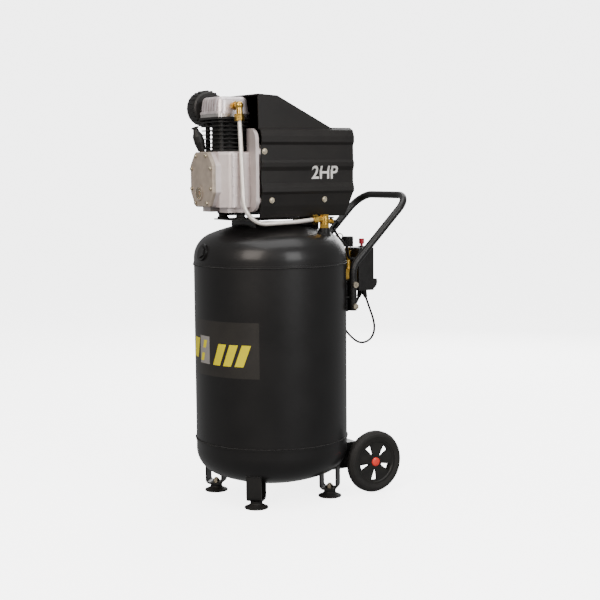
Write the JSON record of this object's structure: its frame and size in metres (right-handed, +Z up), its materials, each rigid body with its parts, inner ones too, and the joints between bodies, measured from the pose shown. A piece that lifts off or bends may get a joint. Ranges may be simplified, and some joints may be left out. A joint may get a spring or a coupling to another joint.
{
  "type": "air compressor",
  "caption": "Wheeled vertical air compressor: upright tank on rubber feet, oil-lubricated piston pump under a black hood, pressure switch, tube handle and outlet regulator.",
  "frame": {"origin": "bottom centre of the machine's box, on the floor, measured without its cords", "axes": "+Z up along the tank's axis; +X back towards the handle and the wheels; -X towards the crankcase; +Y to the far side, with the air outlet"},
  "size_m": [0.5136, 0.4434, 0.9338],
  "materials": {
    "tank_paint": "gloss black powder coat",
    "frame_paint": "satin black powder coat",
    "shroud_plastic": "matt black moulded cover",
    "cast_alloy": "fine cast, silver",
    "cover_alloy": "fine cast, taupe paint",
    "fin_iron": "black stove paint on cast iron",
    "plate_alloy": "machined",
    "zinc_steel": "yellow-white zinc plate",
    "bright_steel": "ground",
    "brass": "machined brass",
    "pipe_alloy": "drawn tube",
    "black_plastic": "moulded",
    "red_plastic": "moulded crimson",
    "wheel_plastic": "moulded",
    "rubber": "moulded",
    "tyre_rubber": "solid rubber",
    "cord_jacket": "extruded jacket",
    "clear_glass": "clear window with oil behind it",
    "gauge_case": "plated case"
  },
  "bodies": {
    "tank": {"air_filter": "black_plastic", "breather_plug": "black_plastic", "capacitor": "black_plastic", "check_valve": "brass", "connecting_rod": "cast_alloy", "crank_web": "bright_steel", "crankcase": "cast_alloy", "crankcase_cover": "cover_alloy", "cylinder_barrel": "fin_iron", "cylinder_head": "cast_alloy", "delivery_elbow": "brass", "delivery_pipe": "pipe_alloy", "drain_valve": "brass", "frame_bolts": "zinc_steel", "handle_lugs": "frame_paint", "handle_tube": "frame_paint", "leg_straps": "frame_paint", "machine_screws": "zinc_steel", "mains_coil": "cord_jacket", "mains_cord": "cord_jacket", "mains_plug": "cord_jacket", "manifold": "brass", "motor_end_bell": "cast_alloy", "motor_housing": "cast_alloy", "motor_lead": "cord_jacket", "outlet_coupler": "brass", "piston": "cast_alloy", "pressure_gauge": "gauge_case", "pump_platform": "frame_paint", "rubber_feet": "rubber", "rubber_mounts": "rubber", "safety_valve": "brass", "shaft_bearings": "bright_steel", "shroud_cover": "shroud_plastic", "sight_glass": "clear_glass", "stator_core": "bright_steel", "switch_base": "black_plastic", "switch_cover": "black_plastic", "tank_bottom_dome": "tank_paint", "tank_shell": "tank_paint", "tank_top_dome": "tank_paint", "unloader_tube": "black_plastic", "valve_plate": "plate_alloy", "wheel_axle": "bright_steel", "wheel_bracket": "frame_paint"},
    "wheel_near": {"wheel_rim_near": "wheel_plastic", "wheel_tyre_near": "tyre_rubber", "hub_cap_near": "red_plastic"},
    "wheel_far": {"wheel_rim_far": "wheel_plastic", "wheel_tyre_far": "tyre_rubber", "hub_cap_far": "red_plastic"},
    "motor_rotor": {"motor_shaft": "bright_steel", "rotor_core": "bright_steel", "cooling_fan": "black_plastic"},
    "switch_pull": {"switch_knob": "red_plastic"},
    "regulator": {"regulator_knob": "black_plastic"},
    "safety_pull": {"safety_ring": "zinc_steel"},
    "drain_tap": {"drain_knob": "black_plastic"},
    "coupler_collar": {"coupler_sleeve": "zinc_steel"},
    "gauge_hand": {"gauge_needle": "black_plastic"}
  },
  "joints": [
    {"name": "wheel_near_spin", "type": "hinge", "parent": "tank", "child": "wheel_near", "pos_m": [0.13028, -0.123, 0.074], "axis": [0, 1, 0], "continuous": true},
    {"name": "wheel_far_spin", "type": "hinge", "parent": "tank", "child": "wheel_far", "pos_m": [0.13028, 0.123, 0.074], "axis": [0, 1, 0], "continuous": true},
    {"name": "motor_spin", "type": "hinge", "parent": "tank", "child": "motor_rotor", "pos_m": [-0.07272, 0, 0.735], "axis": [1, 0, 0], "continuous": true},
    {"name": "switch_pull_slide", "type": "slide", "parent": "tank", "child": "switch_pull", "axis": [0, 0, 1], "range_m": [-0.005, 0]},
    {"name": "regulator_turn", "type": "hinge", "parent": "tank", "child": "regulator", "pos_m": [0.13978, 0, 0.582], "axis": [0, 0, 1], "range_deg": [-360, 360]},
    {"name": "safety_ring_pull", "type": "slide", "parent": "tank", "child": "safety_pull", "axis": [0, 0, 1], "range_m": [0, 0.003], "stiffness_N_per_m": 400},
    {"name": "drain_turn", "type": "hinge", "parent": "tank", "child": "drain_tap", "pos_m": [-0.05472, 0.103, 0.023], "axis": [0, 0, 1], "range_deg": [0, 540]},
    {"name": "coupler_collar_slide", "type": "slide", "parent": "tank", "child": "coupler_collar", "axis": [0, 1, 0], "range_m": [-0.004, 0], "stiffness_N_per_m": 400},
    {"name": "gauge_hand_turn", "type": "hinge", "parent": "tank", "child": "gauge_hand", "pos_m": [0.14728, 0.054, 0.548], "axis": [-1, 0, 0], "range_deg": [0, 270], "stiffness_Nm_per_rad": 0.0005}
  ]
}
